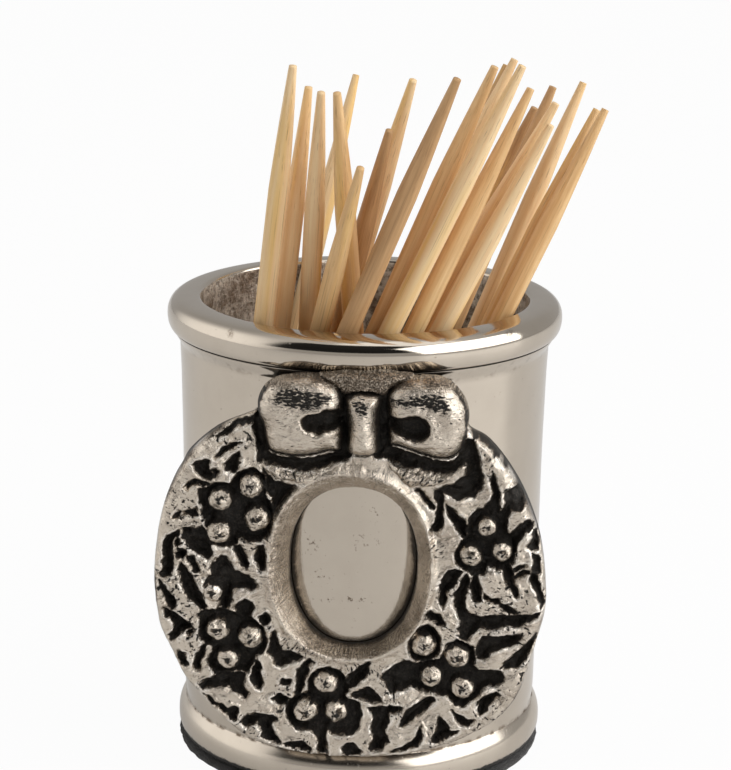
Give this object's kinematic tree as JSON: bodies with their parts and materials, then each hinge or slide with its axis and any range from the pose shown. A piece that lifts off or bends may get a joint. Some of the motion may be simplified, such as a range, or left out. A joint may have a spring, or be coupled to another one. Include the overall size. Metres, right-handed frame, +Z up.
{
  "type": "toothpick holder",
  "caption": "Round cast metal toothpick holder with a beaded rim, a flat holly wreath and ribbon bow on its front, and double-pointed wooden toothpicks leaning in the cup.",
  "frame": {"origin": "middle of the base pad's underside, on the cup's axis", "axes": "+Z up along the cup's axis, -Y out of the front, where the wreath is, +X to the viewer's right"},
  "size_m": [0.0415, 0.0429, 0.0707],
  "materials": {
    "cast_nickel": "polished warm nickel on cast metal, with fine pits and soft scratches; the inside is rough as cast",
    "wreath_nickel": "cast nickel relief, buffed on its high faces, with a black antique finish left in its hollows",
    "braze": "dull braze metal, darkened",
    "felt": "black felt with a rough cut edge",
    "wood_light": "plain split-grain wood, light",
    "wood_warm": "plain split-grain wood, warm yellow",
    "wood_brown": "plain split-grain wood, light brown",
    "wood_pale": "plain split-grain wood, pale"
  },
  "bodies": {
    "holder": {"cup": "cast_nickel", "base_pad": "felt", "wreath": "wreath_nickel", "braze_fillet_left": "braze", "braze_fillet_right": "braze"},
    "toothpick_01": {"toothpick_01": "wood_light"},
    "toothpick_02": {"toothpick_02": "wood_pale"},
    "toothpick_03": {"toothpick_03": "wood_light"},
    "toothpick_04": {"toothpick_04": "wood_warm"},
    "toothpick_05": {"toothpick_05": "wood_pale"},
    "toothpick_06": {"toothpick_06": "wood_brown"},
    "toothpick_07": {"toothpick_07": "wood_warm"},
    "toothpick_08": {"toothpick_08": "wood_light"},
    "toothpick_09": {"toothpick_09": "wood_brown"},
    "toothpick_10": {"toothpick_10": "wood_warm"},
    "toothpick_11": {"toothpick_11": "wood_brown"},
    "toothpick_12": {"toothpick_12": "wood_light"},
    "toothpick_13": {"toothpick_13": "wood_pale"},
    "toothpick_14": {"toothpick_14": "wood_warm"},
    "toothpick_15": {"toothpick_15": "wood_brown"},
    "toothpick_16": {"toothpick_16": "wood_brown"},
    "toothpick_17": {"toothpick_17": "wood_pale"},
    "toothpick_18": {"toothpick_18": "wood_light"},
    "toothpick_19": {"toothpick_19": "wood_pale"},
    "toothpick_20": {"toothpick_20": "wood_warm"},
    "toothpick_21": {"toothpick_21": "wood_warm"}
  },
  "joints": [
    {"name": "toothpick_01_lift", "type": "slide", "parent": "holder", "child": "toothpick_01", "axis": [0.1071, -0.2459, 0.9634], "range_m": [0, 0.0404]},
    {"name": "toothpick_02_lift", "type": "slide", "parent": "holder", "child": "toothpick_02", "axis": [0.1068, -0.2365, 0.9657], "range_m": [0, 0.0419]},
    {"name": "toothpick_03_lift", "type": "slide", "parent": "holder", "child": "toothpick_03", "axis": [0.0459, -0.3672, 0.929], "range_m": [0, 0.0419]},
    {"name": "toothpick_04_lift", "type": "slide", "parent": "holder", "child": "toothpick_04", "axis": [-0.0659, -0.3835, 0.9212], "range_m": [0, 0.0413]},
    {"name": "toothpick_05_lift", "type": "slide", "parent": "holder", "child": "toothpick_05", "axis": [0.2115, 0.3209, 0.9232], "range_m": [0, 0.0439]},
    {"name": "toothpick_06_lift", "type": "slide", "parent": "holder", "child": "toothpick_06", "axis": [0.1897, -0.4231, 0.886], "range_m": [0, 0.0439]},
    {"name": "toothpick_07_lift", "type": "slide", "parent": "holder", "child": "toothpick_07", "axis": [0.1879, -0.4348, 0.8807], "range_m": [0, 0.046]},
    {"name": "toothpick_08_lift", "type": "slide", "parent": "holder", "child": "toothpick_08", "axis": [0.2225, -0.4198, 0.8799], "range_m": [0, 0.0382]},
    {"name": "toothpick_09_lift", "type": "slide", "parent": "holder", "child": "toothpick_09", "axis": [0.3392, -0.2764, 0.8992], "range_m": [0, 0.0383]},
    {"name": "toothpick_10_lift", "type": "slide", "parent": "holder", "child": "toothpick_10", "axis": [0.3624, -0.173, 0.9158], "range_m": [0, 0.0389]},
    {"name": "toothpick_11_lift", "type": "slide", "parent": "holder", "child": "toothpick_11", "axis": [0.3811, 0.0236, 0.9242], "range_m": [0, 0.0408]},
    {"name": "toothpick_12_lift", "type": "slide", "parent": "holder", "child": "toothpick_12", "axis": [0.4001, -0.1635, 0.9018], "range_m": [0, 0.0373]},
    {"name": "toothpick_13_lift", "type": "slide", "parent": "holder", "child": "toothpick_13", "axis": [0.4163, -0.0121, 0.9092], "range_m": [0, 0.0396]},
    {"name": "toothpick_14_lift", "type": "slide", "parent": "holder", "child": "toothpick_14", "axis": [0.3964, -0.0855, 0.9141], "range_m": [0, 0.0412]},
    {"name": "toothpick_15_lift", "type": "slide", "parent": "holder", "child": "toothpick_15", "axis": [0.3858, -0.1822, 0.9044], "range_m": [0, 0.0448]},
    {"name": "toothpick_16_lift", "type": "slide", "parent": "holder", "child": "toothpick_16", "axis": [0.354, -0.0452, 0.9341], "range_m": [0, 0.0425]},
    {"name": "toothpick_17_lift", "type": "slide", "parent": "holder", "child": "toothpick_17", "axis": [0.4483, -0.133, 0.8839], "range_m": [0, 0.0422]},
    {"name": "toothpick_18_lift", "type": "slide", "parent": "holder", "child": "toothpick_18", "axis": [0.4228, -0.1337, 0.8963], "range_m": [0, 0.0443]},
    {"name": "toothpick_19_lift", "type": "slide", "parent": "holder", "child": "toothpick_19", "axis": [0.3699, 0.0629, 0.9269], "range_m": [0, 0.0433]},
    {"name": "toothpick_20_lift", "type": "slide", "parent": "holder", "child": "toothpick_20", "axis": [0.4133, 0.0359, 0.9099], "range_m": [0, 0.0445]},
    {"name": "toothpick_21_lift", "type": "slide", "parent": "holder", "child": "toothpick_21", "axis": [0.4163, 0.0323, 0.9086], "range_m": [0, 0.0446]}
  ]
}
